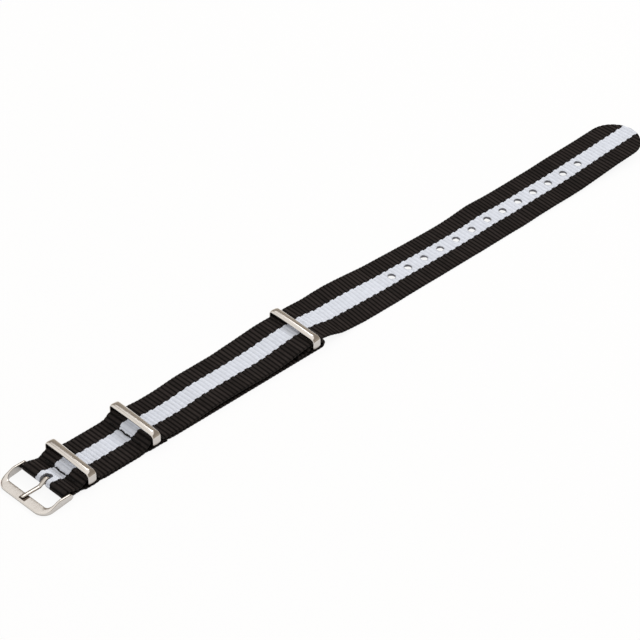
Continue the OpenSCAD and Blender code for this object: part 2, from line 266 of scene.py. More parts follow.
def rolled(name, n_rows, n_cols, place, uv=None, ring=False):
    """A closed skin from a grid. place(row, col) gives millimetres; ring joins the ends too."""
    last = n_rows if ring else n_rows - 1
    bm = bmesh.new()
    bmesh.ops.create_grid(bm, x_segments=last, y_segments=n_cols, size=0.5)

    def spot(v):
        return round((v.co.x + 0.5) * last), round((v.co.y + 0.5) * n_cols)

    if uv:
        layer = bm.loops.layers.uv.new("along")
        for loop in (loop for face in bm.faces for loop in face.loops):
            loop[layer].uv = uv(*spot(loop.vert))
    for v in bm.verts:
        row, col = spot(v)
        x, y, z = place(row % n_rows, col % n_cols)
        v.co = ((x + PIN_X) * MM, y * MM, z * MM)
    bmesh.ops.remove_doubles(bm, verts=bm.verts, dist=1e-7)
    bmesh.ops.dissolve_degenerate(bm, dist=1e-8, edges=bm.edges)
    edges = [e for e in bm.edges if e.is_boundary]
    if edges:
        bmesh.ops.holes_fill(bm, edges=edges, sides=0)
    bmesh.ops.recalc_face_normals(bm, faces=bm.faces)
    for face in bm.faces:
        face.smooth = True
    return from_bmesh(name, bm)


def applied(obj):
    """Makes an object's modifiers part of its mesh."""
    shown = bpy.context.evaluated_depsgraph_get()
    shown.update()
    mesh = bpy.data.meshes.new_from_object(
        obj.evaluated_get(shown), preserve_all_data_layers=True, depsgraph=shown)
    obj.modifiers.clear()
    obj.data = mesh
    return obj


def softened(obj):
    """One level of subdivision, for a smooth polished piece."""
    soft = obj.modifiers.new("smooth", "SUBSURF")
    soft.levels = soft.render_levels = 1
    return applied(obj)


def size_of(obj):
    """Prints a piece's size and how many faces it has."""
    co = np.array([v.co for v in obj.data.vertices])
    span = np.round((co.max(0) - co.min(0)) / MM, 2)
    print(obj.name, "spans", span, "mm,", len(obj.data.polygons), "faces")


# %% [markdown]
# The cross-section runs over the outer face in steps of half a pad, round the selvage, and back over the
# inner face. Near the pin the band is squeezed a little narrower between the buckle's arms, and the tip
# was cut round with a hot knife. Past the third keeper nothing holds the webbing flat: its far edge
# stands a little higher than its near edge. LEAN says how far each edge is lifted, at listed places:
# x, near edge, far edge.

# %% Cross-section of the webbing
HALF_PADS = int((WEB_W / 2 - EDGE_R) / (PAD / 2))
OUTER = [k * PAD / 2 for k in range(-HALF_PADS, HALF_PADS + 1)]
INNER = [k * HALF_PADS * PAD / 8 for k in range(4, -5, -1)]
ARC = [(math.cos(a), math.sin(a)) for a in (math.radians(55), 0.0, math.radians(-55))]
SECTION = (
    [(y, 1.0, 0) for y in OUTER] + [(None, s, c) for c, s in ARC]
    + [(y, -1.0, 0) for y in INNER] + [(None, -s, -c) for c, s in ARC]
)
ROW_PRESS, ROW_HALF, SQUEEZE = 0.1, 0.55, 0.2
print("points in the cross-section:", len(SECTION))


def half_width(x):
    """Half of the webbing's width at x: narrower round the pin, round at the tip."""
    w = float(np.interp(x, [2, 10], [WEB_W / 2 - SQUEEZE, WEB_W / 2]))
    past = x - (STRAP_LEN - WEB_W / 2)
    return math.sqrt(max(0.0, w * w - past * past)) if past > 0 else w


LEAN = [
    (74, 0, 0), (79, -0.5, 0.3), (86, -0.65, 0.5), (92, -0.5, 0.4), (98, 0, 0), (104, 0, 0),
    (108, -0.5, 0.2), (113, -1.2, 0.9), (118, -1.4, 1.5), (123, -1.5, 1.85), (128, -1.35, 1.8),
    (134, -1.0, 1.65), (142, -0.65, 1.25), (150, -0.6, 0.95), (158, -0.4, 0.9), (166, -0.15, 0.85),
    (174, 0, 0.85), (182, -0.3, 0.8), (190, -0.7, 1.15), (198, -0.8, 0.8), (206, -0.4, 0.8),
    (214, -0.4, 0.8), (222, -0.7, 0.65), (228, -0.75, 0.75), (236, -0.4, 0.65), (246, 0.05, 0.45),
    (256, 0.1, 0.45),
]


def lean(x, y):
    """How far the free length is lifted at one edge and let down at the other."""
    at, near, far = zip(*LEAN)
    near, far = float(np.interp(x, at, near)), float(np.interp(x, at, far))
    return (near + far) / 2 + (far - near) / 2 * y / (WEB_W / 2)


print("lean at the third keeper's far side:", round(lean(KEEPER_X[2] + 20, WEB_W / 2), 2), "mm")

# %% [markdown]
# With its route, its weave and its cross-section, a webbing is now one call. Thickness is laid off square
# to the route, so the ribs stand upright on the band also where it turns. The selvage is drawn in a
# little between two ribs, where the weft turns back, and the band is thinner along each stitch row.

# %% The two webbings
SELVAGE_DIP, SELVAGE_THIN, FACE_END, LEAST_HALF = 0.8, 0.1, 0.8, 0.1


def webbing(name, route, rows_x, long=False):
    """A whole webbing along its route, pressed thinner at the stitch rows in rows_x. The long one leans."""
    s_rows = stations(route.length)
    places = [route.at(s) for s in s_rows]

    def width(x):
        return half_width(x) if long else WEB_W / 2

    def place(row, col):
        s, (x, z, t, nx, nz) = s_rows[row], places[row]
        y, side, across = SECTION[col]
        w = width(x)
        press = sum(math.exp(-(((x - r) / ROW_HALF) ** 2)) for r in rows_x)
        scale = t / WEB_T
        gap = RIB_DEPTH * (1 - swell((s / RIB) % 1.0))
        if y is None:
            inward = EDGE_R * (1 - abs(across)) + SELVAGE_DIP * gap
            y = math.copysign(max(LEAST_HALF, w - inward), across)
            h = side * (t / 2 - SELVAGE_THIN * scale)
        else:
            y = max(-w + EDGE_R * FACE_END, min(w - EDGE_R * FACE_END, y))
            below = weave(s, y) if side > 0 else gap
            h = side * (t / 2 - scale * (below + ROW_PRESS * press))
        return x + nx * h, y, z + nz * h + (lean(x, y) if long else 0)

    def uv(row, col):
        y, side, across = SECTION[col % len(SECTION)]
        w = width(places[row][0])
        y = math.copysign(w, across) if y is None else max(-w, min(w, y))
        return s_rows[row] * MM, y * MM

    obj = rolled(name, len(s_rows), len(SECTION), place, uv)
    size_of(obj)
    return obj


strap = webbing("strap_webbing", main_route, [ROW_A, ROW_B, ROW_C, ROW_D], long=True)
flap = webbing("flap_webbing", flap_route, [ROW_E])

# %% [markdown]
# The holes and the tongue's slot are punched with a hot tool, so they have clean walls. One cutter holds
# all thirteen cylinders and the slot, and one Boolean takes them out of the band.

# %% Punch the holes and the slot
TONGUE_T, SLOT_ROOM = 0.65, 0.9
SLOT_W, SLOT_BACK, SLOT_FRONT = 2.8, PIN_R + TONGUE_T + SLOT_ROOM, -5.0
PUNCH_LOW, SLOT_HIGH, HOLE_MID, HOLE_DEEP = -2, 9, 3, 14
HOLE_SIDES, SLOT_POINTS = 40, 17


def cutter():
    """Thirteen cylinders and a prism with a half-round back, in one mesh."""
    bm = bmesh.new()
    for k in range(HOLES):
        at = Matrix.Translation(((HOLE_X + k * HOLE_PITCH + PIN_X) * MM, 0, HOLE_MID * MM))
        bmesh.ops.create_cone(bm, cap_ends=True, segments=HOLE_SIDES, radius1=HOLE_R * MM,
                              radius2=HOLE_R * MM, depth=HOLE_DEEP * MM, matrix=at)
    r = SLOT_W / 2
    angles = np.linspace(-math.pi / 2, math.pi / 2, SLOT_POINTS)
    outline = [(SLOT_BACK - r + r * math.cos(a), r * math.sin(a)) for a in angles]
    outline += [(SLOT_FRONT, r), (SLOT_FRONT, -r)]
    corners = [bm.verts.new(((x + PIN_X) * MM, y * MM, PUNCH_LOW * MM)) for x, y in outline]
    top = bmesh.ops.extrude_face_region(bm, geom=[bm.faces.new(corners)])["geom"]
    raised = [v for v in top if isinstance(v, bmesh.types.BMVert)]
    bmesh.ops.translate(bm, vec=(0, 0, SLOT_HIGH * MM), verts=raised)
    bmesh.ops.recalc_face_normals(bm, faces=bm.faces)
    return from_bmesh("punch", bm)


def punched(obj, tool):
    """Takes a tool out of a piece. The tool is used up."""
    cut = obj.modifiers.new("punch", "BOOLEAN")
    cut.operation, cut.solver, cut.object = "DIFFERENCE", "EXACT", tool
    applied(obj)
    bpy.data.objects.remove(tool)


punched(strap, cutter())
size_of(strap)

# %% [markdown]
# A keeper is a steel band bent to a flattened ring. Its bars are domed outside and its legs nearly flat,
# so the dome fades round the corners. It is another rolled grid: stations go once round the ring, and
# columns round the band's cross-section, with close points at each edge for the soft polished corner.
#
# The parts that show have a real keeper's faults. The dome's crest lies towards the buckle, the upper bar
# bows up, and each keeper has been pushed along its webbing, turned and tilted by a few tenths of a
# millimetre: OFF, ASKEW and TILT. The lower bar rocks in a close pocket of webbing, so it stays true.

# %% The outline of a keeper
RING_IN = WEB_W / 2 + RING_ROOM
RING_OUT = RING_IN + LEG_T
MID = RING_H / 2
OUT_RY, OUT_RZ, IN_R = 2.2, 2.0, 0.6
CORNERS = (1, 1), (-1, 1), (-1, -1), (1, -1)
CORNER_STEPS, BAR_STEPS = 8, 10


def arc(corner, steps):
    """A round corner, as its signs with each direction along its quarter turn."""
    angles = [math.radians(90 * corner + 90 * k / steps) for k in range(steps + 1)]
    return [(*CORNERS[corner], math.cos(a), math.sin(a)) for a in angles]


def ring_stations():
    """Once round the ring: the share of the way to a corner in y and z, and the way out from there."""
    out = []
    for corner, (sy, sz) in enumerate(CORNERS):
        out += arc(corner, CORNER_STEPS)
        if corner in (0, 2):
            out += [(sy * (1 - 2 * k / BAR_STEPS), sz, 0, sz) for k in range(1, BAR_STEPS)]
        else:
            out.append((sy, 0, sy, 0))
    return out


def on_ring(station, side, bar, ry, rz):
    """A station's point on an outline with its legs at side, its bars at bar and round corners."""
    fy, fz, out_y, out_z = station
    return fy * (side - ry) + ry * out_y, MID + fz * (bar - rz) + rz * out_z


AROUND = ring_stations()
print("stations round a keeper:", len(AROUND))

# %% The keepers
DOME, LEG_SHARE, LOW_MORE = 0.45, 0.3, 0.3
CREST, BOW, BAND_W, TURN_Y = -0.3, 0.25, 3.1, -3
TOP, EDGE, INSIDE = 1, 2, 0
TOP_END, TOP_FALL = 0.82, 0.06
ACROSS_TOP = -TOP_END, -0.65, -0.42, -0.2, 0, 0.2, 0.42, 0.65, TOP_END
BAND = (
    [(p, 1 - TOP_FALL * abs(p / TOP_END) ** 4, TOP) for p in ACROSS_TOP]
    + [(0.93, 0.85, EDGE), (0.985, 0.68, EDGE), (1, 0.3, EDGE), (0.96, 0.08, EDGE), (0.86, 0, INSIDE)]
    + [(0.4, 0, INSIDE), (-0.4, 0, INSIDE), (-0.86, 0, INSIDE)]
    + [(-0.96, 0.08, EDGE), (-1, 0.3, EDGE), (-0.985, 0.68, EDGE), (-0.93, 0.85, EDGE)]
)


def keeper(name, x, off, askew, tilt):
    """A whole ring about its webbing at x, pushed, turned and tilted."""
    def place(row, col):
        yo, zo = on_ring(AROUND[row], RING_OUT, MID, OUT_RY, OUT_RZ)
        yi, zi = on_ring(AROUND[row], RING_IN, MID - RING_T, IN_R, IN_R)
        bar = abs(AROUND[row][3])
        p, q, kind = BAND[col]
        low = 0.0 if zo > MID else bar
        fall = DOME * (LEG_SHARE + (1 - LEG_SHARE) * bar**2) * (1 + LOW_MORE * low)
        crest = CREST * (1 - low)
        if kind == TOP:
            q = q - fall * ((p - crest) / (1 - crest if p > crest else 1 + crest)) ** 2
        elif kind == EDGE:
            q = q * (1 - fall)
        y, z = yi + (yo - yi) * q, zi + (zo - zi) * q
        if zo > MID:
            z += BOW * (1 - (y / RING_OUT) ** 2) * q * bar + tilt * y
        wide = BAND_W + (RING_W - BAND_W) * low
        shift = (off + askew * (y - TURN_Y) / RING_OUT) * (1 - low)
        return x + p * wide / 2 + shift, y, BAR_LO + z

    obj = softened(rolled(name, len(AROUND), len(BAND), place, ring=True))
    size_of(obj)
    return obj


NAMES = "keeper_by_buckle", "keeper_behind", "keeper_on_flap"
OFF, ASKEW, TILT = (0.2, 0.15, -0.05), (0.4, 0.4, 0.35), (0.0, 0.0, 0.015)
rings = [keeper(*row) for row in zip(NAMES, KEEPER_X, OFF, ASKEW, TILT)]

# %% [markdown]
# The buckle's frame is cast and polished: a wide flat front bar with round corners, and two slim arms
# that sweep up to the ears round the pin. Its side view comes first, as the height of its top and of its
# underside. The straight slopes touch the rounds of the shoulder and of the ear.

# %% The side view of the buckle frame
ARM_W, BUCKLE_LEN, BAR_W, BAR_T, EAR_R = 0.95, 10.6, 3.3, 1.35, 1.15
ARM_H, SHOULDER_X, FRONT_FALL = 2.5, 3.6, 0.42
CORNER_R, INNER_R, ARM_ROOM, FOOT_IN = 3.9, 2.0, 0.25, 0.6
FRAME_IN = WEB_W / 2 + ARM_ROOM
FRAME_OUT = FRAME_IN + ARM_W
FOOT_X = BUCKLE_LEN - BAR_W + FOOT_IN


def touch(px, pz, cx, cz, r, side):
    """Where a line from a point touches a circle, on its upper side when side is 1."""
    dx, dz = cx - px, cz - pz
    a = math.atan2(dz, dx) + side * math.asin(r / math.hypot(dx, dz))
    return cx - side * r * math.sin(a), cz + side * r * math.cos(a)


TOP_X, TOP_Z = touch(-FOOT_X, BAR_T, -SHOULDER_X, PIN_Z + EAR_R - ARM_H / 2, ARM_H / 2, 1)
LOW_X, LOW_Z = touch(-FOOT_X, 0, 0, PIN_Z, EAR_R, -1)


def share(value):
    """A value held between 0 and 1."""
    return min(1.0, max(0.0, value))


def ear(x):
    """How far the ear's round stands above the pin's height."""
    return math.sqrt(max(0.0, EAR_R**2 - x * x))


def frame_top(x, y):
    """The bar's top, a little lower in front, the rise to the shoulder, and level on to the ear."""
    if x > 0:
        return PIN_Z + ear(x)
    if x > TOP_X:
        return PIN_Z + EAR_R - ARM_H / 2 + math.sqrt((ARM_H / 2) ** 2 - min(0.0, x + SHOULDER_X) ** 2)
    rise = max(0.0, (x + FOOT_X) / (TOP_X + FOOT_X))
    bar = share((FRAME_IN - abs(y)) / INNER_R)
    fall = FRONT_FALL * share((-FOOT_X - x) / (BUCKLE_LEN - FOOT_X))
    return BAR_T - fall + (TOP_Z - BAR_T) * rise * (1 - bar * (3 * bar - 2 * bar * bar))


def frame_low(x):
    """The underside: level below the bar, then a straight slope up to the ear."""
    if x > LOW_X:
        return PIN_Z - ear(x)
    return LOW_Z * max(0.0, (x + FOOT_X) / (LOW_X + FOOT_X))


print("the rise ends", round(-TOP_X, 2), "mm in front of the pin, at", round(TOP_Z, 2), "mm")

# %% [markdown]
# The frame is rolled as well. The stations follow the U from ear to ear, with one point on the outer and
# one on the inner outline. The section at a station has four rounded edges, each followed in SOFT by a
# None for the middle of a side. No edge may take more than its share of the width and the height.

# %% The plan view and the section of the buckle frame
EAR_FROM, EAR_TO, EAR_POINTS = 84, -20, 12
ARM_STEPS, TURN_STEPS, FRONT_STEPS = 13, 12, 8
EDGE_STEPS = 3
PER_EDGE = EDGE_STEPS + 2
WIDE_LIMIT, HIGH_LIMIT = {1: 0.66, -1: 0.33}, {1: 0.6, -1: 0.38}
SOFT = [point for corner in range(4) for point in [*arc(corner, EDGE_STEPS), None]]


def frame_outline(front, side, r):
    """One outline of the U from ear to ear, with its front bar at x = front and its arms at y = side."""
    ear_angles = np.linspace(math.radians(EAR_FROM), math.radians(EAR_TO), EAR_POINTS)
    turn_angles = np.radians([90 + 90 * k / TURN_STEPS for k in range(TURN_STEPS + 1)])
    out = [(EAR_R * math.sin(a), side) for a in ear_angles]
    start, xc, yc = out[-1][0], front + r, side - r
    out += [(start + (xc - start) * (k / ARM_STEPS), side) for k in range(1, ARM_STEPS)]
    out += [(xc + r * math.cos(a), yc + r * math.sin(a)) for a in turn_angles]
    out += [(front, yc * (1 - k / FRONT_STEPS)) for k in range(1, FRONT_STEPS)]
    return out + [(front, 0.0)] + [(x, -y) for x, y in reversed(out)]


def on_section(col, w, h, radii, flat=0.0):
    """A point of a w by h section, whose four edges are rounded, each to its width and height."""
    if SOFT[col] is None:
        a, b = (on_section(k % len(SOFT), w, h, radii, flat) for k in (col - 1, col + 1))
        return (a[0] + b[0]) / 2, (a[1] + b[1]) / 2
    su, sv, c, s = SOFT[col]
    if sv > 0:
        chord = abs(c) + abs(s)
        c, s = c + (c / chord - c) * flat, s + (s / chord - s) * flat
    ru, rv = radii[col // PER_EDGE]
    ru, rv = min(ru, WIDE_LIMIT[su] * w), min(rv, HIGH_LIMIT[sv] * h)
    return su * (w / 2 - ru) + ru * c, sv * (h / 2 - rv) + rv * s


OUTER_U = frame_outline(-BUCKLE_LEN, FRAME_OUT, CORNER_R)
INNER_U = frame_outline(BAR_W - BUCKLE_LEN, FRAME_IN, INNER_R)
print("frame stations:", len(OUTER_U), "with", len(SOFT), "points each")

# %% [markdown]
# BAR_EDGES and ARM_EDGES hold the width and height of each edge's radius: upper outer, upper inner,
# lower inner, lower outer. The bar's upper edges are rounded most, and on the arms the lower outer one,
# so that the ears end in a soft point. The arms' upper edges are nearer to a flat bevel.

# %% The buckle frame
BAR_EDGES = [(0.45, 0.4), (0.5, 0.3), (0.2, 0.2), (0.3, 0.4)]
ARM_EDGES = [(0.25, 0.4), (0.2, 0.3), (0.2, 0.2), (0.3, 0.9)]
ARM_BEVEL, LEAST_H = 0.3, 0.05


def buckle_frame():
    """The whole frame, before its notch is milled."""
    def place(row, col):
        (xo, yo), (xi, yi) = OUTER_U[row], INNER_U[row]
        w = math.hypot(xo - xi, yo - yi)
        xm, ym = (xo + xi) / 2, (yo + yi) / 2
        h = max(LEAST_H, frame_top(xm, ym) - frame_low(xm))
        arm = share((BAR_W - w) / (BAR_W - ARM_W))
        radii = [(a + (c - a) * arm, b + (d - b) * arm) for (a, b), (c, d) in zip(BAR_EDGES, ARM_EDGES)]
        u, v = on_section(col, w, h, radii, ARM_BEVEL * arm)
        x, y = xm + (xo - xi) * u / w, ym + (yo - yi) * u / w
        lo, hi = frame_low(x), frame_top(x, y)
        return x, y, lo + (hi - lo) * (v / h + 0.5)

    return softened(rolled("buckle_body", len(OUTER_U), len(SOFT), place))


body = buckle_frame()
size_of(body)

# %% [markdown]
# The tongue rests in a shallow notch, milled across the back of the front bar, wider than the tongue and
# a little to one side. It is a small block with rounded lower edges, taken out with a Boolean.

# %% The notch
TONGUE_W, TONGUE_LEN = 1.5, 9.6
NOTCH_ROOM, NOTCH_DEEP, NOTCH_AHEAD = 1.1, 0.35, 0.35
NOTCH_W, NOTCH_Y = TONGUE_W + NOTCH_ROOM, -0.4
NOTCH_Z, NOTCH_X = BAR_T - NOTCH_DEEP, TONGUE_LEN + NOTCH_AHEAD
BLOCK_LEN, BLOCK_H, BLOCK_R, BLOCK_R_STEPS = 4, 2, 0.12, 3


def notch():
    """The block that mills the notch, its front end at NOTCH_X and its underside at NOTCH_Z."""
    bm = bmesh.new()
    bmesh.ops.create_cube(bm, size=1.0)
    bmesh.ops.scale(bm, vec=(BLOCK_LEN * MM, NOTCH_W * MM, BLOCK_H * MM), verts=bm.verts)
    middle = Vector((BLOCK_LEN / 2 - NOTCH_X + PIN_X, NOTCH_Y, NOTCH_Z + BLOCK_H / 2)) * MM
    bmesh.ops.translate(bm, vec=middle, verts=bm.verts)
    low = [e for e in bm.edges if all(v.co.z < middle.z for v in e.verts)]
    bmesh.ops.bevel(bm, geom=low, offset=BLOCK_R * MM, offset_type="OFFSET", segments=BLOCK_R_STEPS,
                    profile=0.5, affect="EDGES", material=-1)
    return from_bmesh("mill", bm)


punched(body, notch())
size_of(body)

# %% [markdown]
# The tongue is a strip of flat wire, curled round the pin, with one bend and a rounded tip. It is a grid
# rolled along that line. Its upper side is crowned a little, and it thins to the tip.

# %% The tongue
DIP, KNEE_R, CURL_FROM = 33.0, 1.1, -140
CURL_POINTS, KNEE_STEPS, TIP_POINTS = 40, 8, 9
CURL_R = FOLD_R + TONGUE_T / 2
TONGUE_GAP, LEVEL_END, TIP_R, TIP_TURN = 0.02, 0.9, 0.75, 86
TIP_Z = NOTCH_Z + TONGUE_GAP + TONGUE_T / 2
TONGUE_EDGE, TIP_THIN, CROWN, LEAST_SQUARE = (0.2, 0.3), 0.35, 0.2, 0.002


def tongue_line():
    """The middle line of the tongue as x and z, from the curl's end to the tip."""
    dip = math.radians(DIP)
    curl = np.linspace(math.radians(CURL_FROM), math.radians(90 + DIP), CURL_POINTS)
    points = [(CURL_R * math.cos(a), PIN_Z + CURL_R * math.sin(a)) for a in curl]
    x, z = points[-1]
    drop = z - TIP_Z - KNEE_R * (1 - math.cos(dip))
    run = drop / math.sin(dip) * math.cos(dip)
    points += [(x - run * u, z - drop * u) for u in (0.25, 0.5, 0.75)]
    level = x - run - KNEE_R * math.sin(dip)
    knee = [dip * (1 - k / KNEE_STEPS) for k in range(KNEE_STEPS + 1)]
    points += [(level + KNEE_R * math.sin(a), TIP_Z + KNEE_R * (1 - math.cos(a))) for a in knee]
    points += [(x, TIP_Z) for x in np.linspace(level, LEVEL_END - TONGUE_LEN, TIP_POINTS)[1:]]
    tip = np.linspace(0, math.radians(TIP_TURN), TIP_POINTS)
    return points + [(TIP_R * (1 - math.sin(a)) - TONGUE_LEN, TIP_Z) for a in tip]


def tongue():
    """The strip rolled along its line."""
    xs, zs = np.array(tongue_line()).T
    s = np.r_[0, np.cumsum(np.hypot(np.diff(xs), np.diff(zs)))]
    tx, tz = np.gradient(xs, s), np.gradient(zs, s)
    size = np.hypot(tx, tz)

    def place(row, col):
        past = max(0.0, -TONGUE_LEN + TONGUE_W / 2 - xs[row])
        w = 2 * math.sqrt(max(LEAST_SQUARE, (TONGUE_W / 2) ** 2 - past**2))
        t = TONGUE_T * (1 - TIP_THIN * (past / (TONGUE_W / 2)) ** 2)
        u, v = on_section(col, w, t, [(TONGUE_EDGE[0] * w, TONGUE_EDGE[1] * t)] * 4)
        v -= CROWN * (2 * u / TONGUE_W) ** 2 if v > 0 else 0
        nx, nz = tz[row] / size[row], -tx[row] / size[row]
        return xs[row] + nx * v, u, zs[row] + nz * v

    return softened(rolled("tongue_wire", len(xs), len(SOFT), place))


prong = tongue()
size_of(prong)

# %% [markdown]
# A stitch row is two threads, one above and one below, that lock in the needle holes. A thread is three
# twisted plies, so its section is a soft trefoil that turns as it goes. It dives at each needle hole.

# %% The stitch rows
STITCH, THREAD_R, ALONG = 2.4, 0.27, 0.12
NEEDLES = int((WEB_W - 3) / STITCH) + 1
ROW_W = (NEEDLES - 1) * STITCH
TAIL, RISE, DIVE, DIVE_HALF = 0.35, 0.15, 0.4, 0.32
WANDER, WANDER_TURN = 0.8, 1.3
PLY_COLS, PLY_TWIST, PLY_DEPTH = 12, 1.6, 0.16


def thread(name, x, z, up, rise=RISE):
    """One thread along a row at x: z is the face that it lies on, up is 1 above and -1 below."""
    ys = np.arange(-ROW_W / 2 - TAIL, ROW_W / 2 + TAIL, ALONG)
    along = (ys + ROW_W / 2) / STITCH
    dive = np.exp(-((np.abs(along - np.round(along)) * STITCH / DIVE_HALF) ** 2))
    sway = x + WANDER * rise * np.sin(ys * WANDER_TURN + x)
    path = np.stack([sway, ys, z + up * (rise - DIVE * dive)], 1)
    step = np.gradient(path, axis=0)
    step /= np.linalg.norm(step, axis=1)[:, None]

    def place(row, col):
        t = step[row]
        a = 2 * math.pi * col / PLY_COLS
        r = THREAD_R * (1 + PLY_DEPTH * math.cos(3 * (a + ys[row] * PLY_TWIST)))
        side = np.array([1.0, 0.0, 0.0]) - t * t[0]
        side /= np.linalg.norm(side)
        return path[row] + r * (math.cos(a) * side + math.sin(a) * np.cross(t, side))

    def uv(row, col):
        return ys[row] * MM, (col / PLY_COLS) * 2 * math.pi * THREAD_R * MM

    return rolled(name, len(ys), PLY_COLS, place, uv)


def joined(name, parts):
    """One object from several."""
    bm = bmesh.new()
    for part in parts:
        bm.from_mesh(part.data)
        bpy.data.objects.remove(part)
    return from_bmesh(name, bm)


PRESSED_RISE, TUCK, UNDER_Z, FLOOR_ROOM = 0.02, 0.15, 0.25, 0.45
ROWS = [
    (ROW_A, LOW_A, LOW_A + ON_LAYER + WEB_T, False), (ROW_B, PINCH, PINCH + ON_LAYER + WEB_T, True),
    (ROW_C, PINCH, PINCH + ON_LAYER + WEB_T, False), (ROW_D, 0.0, STACK + WEB_T, True),
    (ROW_E, 0.0, ON_LAYER + WEB_T, False),
]
stitching = []
for k, (x, lo, hi, pressed) in enumerate(ROWS, 1):
    upper = thread("upper", x - TUCK * pressed, hi - ROW_PRESS, 1, PRESSED_RISE if pressed else RISE)
    lower = thread("lower", x, max(lo + UNDER_Z, FLOOR_ROOM), -1)
    stitching.append(joined(f"thread_row_{k}", [upper, lower]))
    size_of(stitching[-1])

# %% [markdown]
# Shader maths reads best as plain Python. A Wire wraps one output socket, and adding, taking away,
# multiplying or dividing two of them adds the Math node.

# %% Wires
def maths(op, swapped=False):
    """A method that adds one Math node. swapped is for the reflected form."""
    def method(self, other=0.0):
        pair = (other, self) if swapped else (self, other)
        return self.nodes.node("ShaderNodeMath", {"operation": op}, *pair)

    return method


class Wire:
    """One output socket in a set of nodes."""

    def __init__(self, nodes, socket):
        self.nodes, self.socket = nodes, socket

    __add__ = __radd__ = maths("ADD")
    __mul__ = __rmul__ = maths("MULTIPLY")
    __sub__, __rsub__ = maths("SUBTRACT"), maths("SUBTRACT", swapped=True)
    __truediv__, __pow__ = maths("DIVIDE"), maths("POWER")
    floor, fract, nearest, abs = maths("FLOOR"), maths("FRACT"), maths("ROUND"), maths("ABSOLUTE")
    below, highest = maths("LESS_THAN"), maths("MAXIMUM")

    def ramp(self, low, high, to_low=0.0, to_high=1.0):
        """A smooth step from to_low to to_high as the value goes from low to high."""
        return self.nodes.node(
            "ShaderNodeMapRange", {"interpolation_type": "SMOOTHSTEP"}, Value=self,
            **{"From Min": low, "From Max": high, "To Min": to_low, "To Max": to_high})


# %% [markdown]
# Every other node comes from one node() method, which takes the node's type, its settings and its
# inputs. A Material adds the shader, and its constants go straight on the shader's sockets. MIX_A, MIX_B
# and MIXED say where the Mix node keeps its two colours and its result.

# %% Nodes and materials
MIX_A, MIX_B, MIXED = 6, 7, 2


class Nodes:
    """A node tree that hands out wires."""

    def __init__(self, tree):
        self.tree = tree

    def node(self, kind, settings=None, *values, out=0, **inputs):
        made = self.tree.nodes.new(kind)
        for key, value in (settings or {}).items():
            setattr(made, key, value)
        for key, value in [*enumerate(values), *inputs.items()]:
            self.join(value, made.inputs[key])
        return Wire(self, made.outputs[out])

    def join(self, value, socket):
        if isinstance(value, Wire):
            self.tree.links.new(value.socket, socket)
        else:
            socket.default_value = value

    def mix(self, amount, a, b):
        """Colour a where amount is 0, b where it is 1."""
        made = self.node("ShaderNodeMix", {"data_type": "RGBA"}, amount, out=MIXED)
        for colour, k in ((a, MIX_A), (b, MIX_B)):
            colour = (*colour, 1.0) if isinstance(colour, tuple) else colour
            self.join(colour, made.socket.node.inputs[k])
        return made

    def shade(self, colour, value):
        """A colour or a vector times a number."""
        return self.node("ShaderNodeVectorMath", {"operation": "SCALE"}, colour, Scale=value)

    def stretched(self, vector, x, y, z):
        return self.node("ShaderNodeVectorMath", {"operation": "MULTIPLY"}, vector, (x, y, z))

    def bump(self, height, distance, strength, **under):
        return self.node("ShaderNodeBump", Height=height, Distance=distance, Strength=strength, **under)

    def place(self):
        """Object coordinates in millimetres."""
        return self.shade(self.node("ShaderNodeTexCoord", out="Object"), 1 / MM)

    def noise(self, vector, scale, detail=3.0, roughness=0.5):
        return self.node("ShaderNodeTexNoise", Vector=vector, Scale=scale, Detail=detail,
                         Roughness=roughness, out="Fac")

    def xyz(self, vector):
        """The three numbers of a vector."""
        first = self.node("ShaderNodeSeparateXYZ", None, vector)
        return [Wire(self, s) for s in first.socket.node.outputs]


class Material(Nodes):
    """A material with the usual shader."""

    def __init__(self, name, **constants):
        self.mat = bpy.data.materials.new(name)
        self.mat.use_nodes = True
        super().__init__(self.mat.node_tree)
        self.surface = self.tree.nodes["Principled BSDF"]
        self.feed(**constants)

    def feed(self, **inputs):
        for key, value in inputs.items():
            self.join(value, self.surface.inputs[key.replace("_", " ")])


def put_on(obj, *mats):
    """Gives a piece its materials, in the order of its slots."""
    obj.data.materials.clear()
    for m in mats:
        obj.data.materials.append(m.mat)
    print(obj.name, "is made of", [m.mat.name for m in mats])


# %% [markdown]
# The webbing's material reads the distance along and across the band from the UV map, and works out
# which rib and which pad a point lies on. Each pad has one colour, so the stripe's edge steps from rib to
# rib as on the loom. Filaments, differences from yarn to yarn and melted rims come on top, and the gaps
# between ribs are painted darker as shade.

# %% Webbing material
STRIPE_HALF = 3.05
# The second colour of each pair is painted shade for the gaps between ribs.
BLACK, BLACK_IN_PAINTED_SHADE = (0.0215, 0.0175, 0.0165), (0.0030, 0.0024, 0.0023)
WHITE, WHITE_IN_PAINTED_SHADE = (0.705, 0.752, 0.845), (0.585, 0.625, 0.72)


def hump(wire):
    """1 in the middle of each whole step of a wire, 0 at its ends."""
    return 1 - (wire.fract() * 2 - 1) ** 2


def far(a, b):
    """How far a place is from where both wires are 0."""
    return (a * a + b * b) ** 0.5


def own(m, *cell):
    """A random number of its own for each cell."""
    return m.node("ShaderNodeTexWhiteNoise", {"noise_dimensions": "2D"},
                  m.node("ShaderNodeCombineXYZ", None, *cell))


def melted_rims(m, along, across, first_hole, tip):
    """1 at the rims of the holes and of the tip, 0 elsewhere."""
    step = (along - first_hole) / HOLE_PITCH
    hole = m.node("ShaderNodeClamp", None, step.nearest(), Min=0.0, Max=float(HOLES - 1))
    ring = far((step - hole) * HOLE_PITCH, across).ramp(HOLE_R + 0.05, HOLE_R + 0.4, 1.0, 0.0)
    past = (along - (tip - WEB_W / 2)).highest(0.0)
    return ring.highest(far(past, across).ramp(WEB_W / 2 - 0.35, WEB_W / 2 - 0.1))


